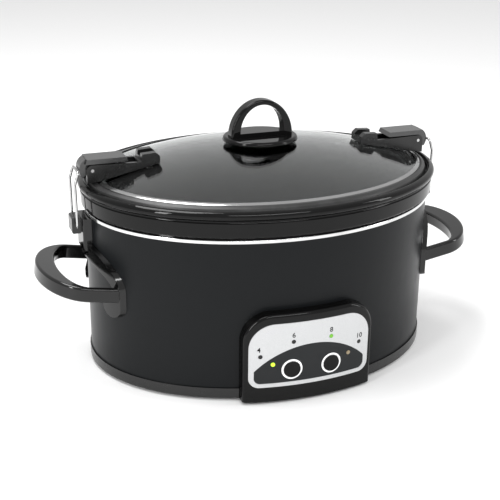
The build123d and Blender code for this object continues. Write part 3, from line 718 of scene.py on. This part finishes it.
POWER_LENS = Lens("bright_green_lens", "bright_green_lens", (0.42, 0.75, 0.015), 0.2, glow=0.7)
AMBER_LENS = Lens("amber_lens", "amber_lens", (0.22, 0.17, 0.1), 0.25)
BOARD = Board("circuit_board", "circuit_board", (0.02, 0.12, 0.05), 0.35)
RELAY = Plastic("relay_blue", "relay_blue", (0.02, 0.09, 0.34), 0.3)
CAPACITOR = Plastic("capacitor_yellow", "capacitor_yellow", (0.7, 0.45, 0.04), 0.3)
TERMINAL = Plastic("terminal_green", "terminal_green", (0.03, 0.25, 0.08), 0.35)
RIBBON = Plastic("ribbon_grey", "ribbon_grey", grey(0.45), 0.45)
LEAD = Rubber("lead_silicone", "lead_silicone", (0.68, 0.64, 0.56), 0.55)
ALUMINIUM = Metal("bright_aluminium", "bright_aluminium", grey(0.8), 0.3)
WIRE = Metal("spring_wire", "spring_wire", grey(0.5), 0.2, along=(1.0, 1.0, 0.1))
GLAZE = Glaze("black_glaze", "black_glaze", grey(0.0015), 0.02, 0.2, wave_depth=0.00008)
CLEAR = Glass("clear_glass", "clear_glass", (0.94, 0.97, 0.965), 0.0)
RIM = Metal("rolled_steel", "rolled_steel", grey(0.42), 0.14, along=(0.03, 0.03, 1.0))
SEAL = Rubber("gasket_rubber", "gasket_rubber", grey(0.012), 0.38)
BUTTON = Plastic("button_black", "button_black", grey(0.003), 0.28, 0.16, marks=0.06)
MARK = Plastic("black_print", "button_black", grey(0.004), 0.5, 0.1)


# ---------------------------------------------------------------- sub-assemblies


@dataclass
class SubAssembly:
    """Some of the cooker's pieces and what each is finished in."""

    title: str
    finishes: dict[str, Finish]

    def dress(self, nodes: dict[str, bpy.types.Object]) -> None:
        """Gives each CAD piece its finish.

        Args:
            nodes: The CAD pieces by name.
        """
        for node, finish in self.finishes.items():
            materials = nodes[node].data.materials
            materials.clear()
            materials.append(finish.make())
            LOG.info("%s: %s in %s", self.title, node, finish.name)

    def build(self) -> None:
        """Makes what the CAD pieces don't hold, which is nothing unless a sub-assembly says so."""


def both_sides(stem: str, finish: Finish) -> dict[str, Finish]:
    """Returns the finish for a piece and its twin on the other side."""
    return {f"{stem}_{side.value}": finish for side in Side}


@dataclass
class Housing(SubAssembly):
    """The painted wall, the heated well and the base."""

    title: str = "housing"
    finishes: dict[str, Finish] = field(
        default_factory=lambda: {
            "outer_housing": ENAMEL,
            "rim_band": TRIM,
            "liner_pan": WELL,
            "heater_band": MICA,
            "heater_wrap": FIBRE,
            "base_ring": SATIN,
            "bottom_cover": PLATED,
            "feet": RUBBER,
            "cover_screws": SCREW,
            "tie_bolt": SCREW,
            "tie_nut": SCREW,
            "cord_grommet": RUBBER,
        }
    )


@dataclass
class Electrics(SubAssembly):
    """The boards behind the panel and under the well, and their wiring."""

    title: str = "electrics"
    finishes: dict[str, Finish] = field(
        default_factory=lambda: {
            "tact_switches": CHIP,
            "led_emitters": PALE,
            "control_board": BOARD,
            "board_screws": SCREW,
            "microcontroller": CHIP,
            "power_board": BOARD,
            "power_board_screws": SCREW,
            "relay": RELAY,
            "dropper_capacitor": CAPACITOR,
            "terminal_block": TERMINAL,
            "ribbon_cable": RIBBON,
            "heater_leads": LEAD,
            "temperature_sensor": ALUMINIUM,
            "sensor_spring": SCREW,
            "thermal_fuse": PALE,
        }
    )


@dataclass
class CarryingHandles(SubAssembly):
    """The handles with the wires that hold the lid down."""

    title: str = "carrying handles"
    finishes: dict[str, Finish] = field(
        default_factory=lambda: {"handle_screws": SCREW, "anchor_screws": SCREW}
        | both_sides("handle", GRIP)
        | both_sides("bail_anchor", SATIN)
        | both_sides("wire_bail", WIRE)
    )


@dataclass
class PotAndLid(SubAssembly):
    """The stoneware pot and the glass lid with its latches."""

    title: str = "pot and lid"
    finishes: dict[str, Finish] = field(
        default_factory=lambda: {
            "stoneware_pot": GLAZE,
            "lid_glass": CLEAR,
            "lid_rim": RIM,
            "lid_gasket": SEAL,
            "knob": GLOSS,
            "knob_washer": SEAL,
            "knob_screw": SCREW,
            "lever_pins": SCREW,
            "bracket_screws": SCREW,
        }
        | both_sides("latch_bracket", SATIN)
        | both_sides("latch_lever", LEVER_PAINTED_SHEEN)
    )


@dataclass
class ControlPanel(SubAssembly):
    """The panel with its hood, lamps and buttons, and the plain numbers printed on it.

    Attributes:
        number_height: The numbers' height in metres.
        number_weight: How much each stroke is thickened, in metres.
        print_lift: How far the print's middle stands off the plate, in metres.
        print_depth: The print's thickness in metres.
        numbers: The middle of each number, along the oval and upwards, in metres.
    """

    title: str = "control panel"
    finishes: dict[str, Finish] = field(
        default_factory=lambda: {
            "control_bezel": GLOSS,
            "bezel_screws": SCREW,
            "faceplate": SILVER,
            "keypad_overlay": OVERLAY,
            "button_rings": WHITE,
            "timer_lenses": DARK_LENS,
            "timer_lens_lit": GREEN_LENS,
            "power_lens": POWER_LENS,
            "warm_lens": AMBER_LENS,
            "select_button": BUTTON,
            "off_button": BUTTON,
        }
    )
    number_height: float = 0.0066
    number_weight: float = 0.0001
    print_lift: float = 0.00003
    print_depth: float = 0.00005
    numbers: dict[str, Span] = field(
        default_factory=lambda: {
            "4": (-0.0505, 0.0562),
            "6": (-0.0185, 0.0684),
            "8": (0.0185, 0.0684),
            "10": (0.049, 0.0558),
        }
    )

    def front(self, x: np.ndarray, node: str) -> np.ndarray:
        """Works out where a panel piece's front lies.

        The front is the body's ellipse moved outwards: y = -b sqrt(1 - (x / a)^2).

        Args:
            x: Places along the body.
            node: The piece whose front it is.

        Returns:
            The front's place from front to back for each x.
        """
        low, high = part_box("outer_housing")
        half_length, half_width = (high.x - low.x) / 2, (high.y - low.y) / 2
        b = -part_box(node)[0].y
        a = half_length + (b - half_width)
        return -b * np.sqrt(1 - (x / a) ** 2)

    def print_number(self, text: str, x: float, z: float) -> None:
        """Prints one number on the bright plate, bent to its curve.

        Args:
            text: The number.
            x: Its middle along the body.
            z: Its middle's height.
        """
        curve = bpy.data.curves.new(f"number_{text}", "FONT")
        curve.body = text
        curve.size = self.number_height
        curve.align_x, curve.align_y = "CENTER", "CENTER"
        curve.extrude = self.print_depth / 2
        curve.offset = self.number_weight
        flat = bpy.data.objects.new("flat_number", curve)
        bpy.context.scene.collection.objects.link(flat)
        bpy.context.view_layer.update()
        mesh = bpy.data.meshes.new_from_object(flat)
        bpy.data.objects.remove(flat)
        points = np.zeros(len(mesh.vertices) * 3)
        mesh.vertices.foreach_get("co", points)
        points = points.reshape(-1, 3)
        across = points[:, 0] + x
        out = self.front(across, "faceplate") - self.print_lift - points[:, 2]
        placed = np.column_stack([across, out, points[:, 1] + z])
        mesh.vertices.foreach_set("co", placed.ravel())
        mesh.name = f"number_{text}"
        mesh.materials.clear()
        mesh.materials.append(MARK.make())
        piece = bpy.data.objects.new(f"number_{text}", mesh)
        bpy.context.scene.collection.objects.link(piece)
        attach(piece, "base")
        LOG.info("printed %s", text)

    def build(self) -> None:
        """Prints every number."""
        for text, (x, z) in self.numbers.items():
            self.print_number(text, x, z)


# ---------------------------------------------------------------- studio


@dataclass(frozen=True)
class Softbox:
    """A large soft lamp.

    Attributes:
        name: Its name.
        place: Where it hangs, in metres.
        aim: What it points at.
        width: The face's width.
        height: The face's height.
        power: Its power in watts.
    """

    name: str
    place: tuple[float, float, float]
    aim: tuple[float, float, float]
    width: float
    height: float
    power: float

    def hang(self) -> None:
        """Makes the lamp and turns it to what it points at."""
        lamp = bpy.data.lights.new(self.name, "AREA")
        lamp.shape = "RECTANGLE"
        lamp.size, lamp.size_y, lamp.energy = self.width, self.height, self.power
        holder = bpy.data.objects.new(self.name, lamp)
        holder.location = self.place
        holder.rotation_euler = (Vector(self.aim) - Vector(self.place)).to_track_quat("-Z", "Y").to_euler()
        bpy.context.scene.collection.objects.link(holder)


@dataclass
class Studio:
    """A pale floor, soft lamps and the camera.

    Attributes:
        floor_reach: The floor's radius in metres.
        floor_rings: How many rings of faces it has.
        floor_spokes: How many faces go round it.
        floor_grey: How pale it is.
        floor_flecks: Flecks in it to a metre.
        floor_fleck: How pale the darker ones are against it.
        floor_roughness: How rough it is.
        sky: How strong the light from all round is.
        azimuth: The camera's turn round the cooker in degrees, 0 in front.
        elevation: Its height above level in degrees.
        distance: How far it stands from what it aims at, in metres.
        aim: What it aims at.
        roll: How far it is tilted in degrees.
        lens: Its focal length in millimetres.
        lamps: The soft lamps.
    """

    floor_reach: float = 6.0
    floor_rings: int = 6
    floor_spokes: int = 64
    floor_grey: float = 0.86
    floor_flecks: float = 60.0
    floor_fleck: float = 0.99
    floor_roughness: float = 0.75
    sky: float = 0.8
    azimuth: float = -20.55
    elevation: float = 21.53
    distance: float = 1.05218
    aim: tuple[float, float, float] = (-0.00912, 0.0, 0.09736)
    roll: float = 0.65
    lens: float = 75.05
    lamps: tuple[Softbox, ...] = (
        Softbox("overhead", (-0.45, 0.35, 1.7), (0, 0, 0.1), 1.1, 0.7, 22.0),
        Softbox("left_wall", (-1.5, -0.9, 0.75), (0, 0, 0.12), 0.25, 1.0, 14.0),
        Softbox("right_wall", (1.7, -0.9, 0.8), (0, 0, 0.12), 0.3, 1.2, 9.0),
        Softbox("front", (0.1, -1.9, 1.9), (0, 0, 0.12), 1.6, 0.22, 20.0),
    )

    def lay_floor(self) -> None:
        """Lays a round floor: points at r = R t, turned through a full circle."""
        spokes = self.floor_spokes
        t = np.linspace(0.0, 1.0, self.floor_rings + 1)[1:]
        turn = np.linspace(0.0, 2 * math.pi, spokes, endpoint=False)
        radius, angle = np.meshgrid(t * self.floor_reach, turn, indexing="ij")
        flat = [radius * np.cos(angle), radius * np.sin(angle), np.zeros_like(angle)]
        points = np.vstack([np.zeros((1, 3)), np.stack(flat, -1).reshape(-1, 3)])
        step = np.arange(spokes)
        turned = (step + 1) % spokes
        middle = np.stack([np.zeros_like(step), 1 + step, 1 + turned], 1)
        inner = 1 + np.arange(self.floor_rings - 1)[:, None] * spokes
        outer = inner + spokes
        ring = np.stack([inner + step, outer + step, outer + turned, inner + turned], -1).reshape(-1, 4)
        faces = middle.tolist() + ring.tolist()
        mesh = bpy.data.meshes.new("floor")
        mesh.from_pydata(points.tolist(), [], faces)
        shader = Shader("pale_floor")
        fleck = shader.noise(self.floor_flecks)
        dark, light = grey(self.floor_grey * self.floor_fleck), grey(self.floor_grey)
        shader.set(Base_Color=shader.mixed(fleck, dark, light), Roughness=self.floor_roughness)
        mesh.materials.append(shader.material)
        floor = bpy.data.objects.new("floor", mesh)
        bpy.context.scene.collection.objects.link(floor)

    def light(self) -> None:
        """Lights the room softly and hangs the lamps."""
        world = bpy.data.worlds.new("studio")
        world.use_nodes = True
        background = world.node_tree.nodes["Background"]
        background.inputs["Color"].default_value = (*grey(1.0), 1.0)
        background.inputs["Strength"].default_value = self.sky
        bpy.context.scene.world = world
        bpy.context.scene.view_settings.view_transform = "Standard"
        for lamp in self.lamps:
            lamp.hang()

    def place_camera(self) -> None:
        """Stands the camera where its azimuth, elevation and distance from the aim say."""
        lens = bpy.data.cameras.new("camera")
        lens.lens = self.lens
        camera = bpy.data.objects.new("camera", lens)
        a, e = math.radians(self.azimuth), math.radians(self.elevation)
        back = Vector((math.sin(a) * math.cos(e), -math.cos(a) * math.cos(e), math.sin(e)))
        camera.location = Vector(self.aim) + back * self.distance
        level = (-back).to_track_quat("-Z", "Y")
        camera.rotation_mode = "QUATERNION"
        camera.rotation_quaternion = level @ Euler((0, 0, math.radians(self.roll))).to_quaternion()
        bpy.context.scene.collection.objects.link(camera)
        bpy.context.scene.camera = camera


def main() -> None:
    """Dresses the cooker and sets up the studio."""
    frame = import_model()
    for part in (Housing(), Electrics(), CarryingHandles(), PotAndLid(), ControlPanel()):
        part.dress(frame["nodes"])
        part.build()
    studio = Studio()
    studio.lay_floor()
    studio.light()
    studio.place_camera()


if __name__ == "__main__":
    logging.basicConfig(level=logging.INFO, format="%(message)s")
    main()
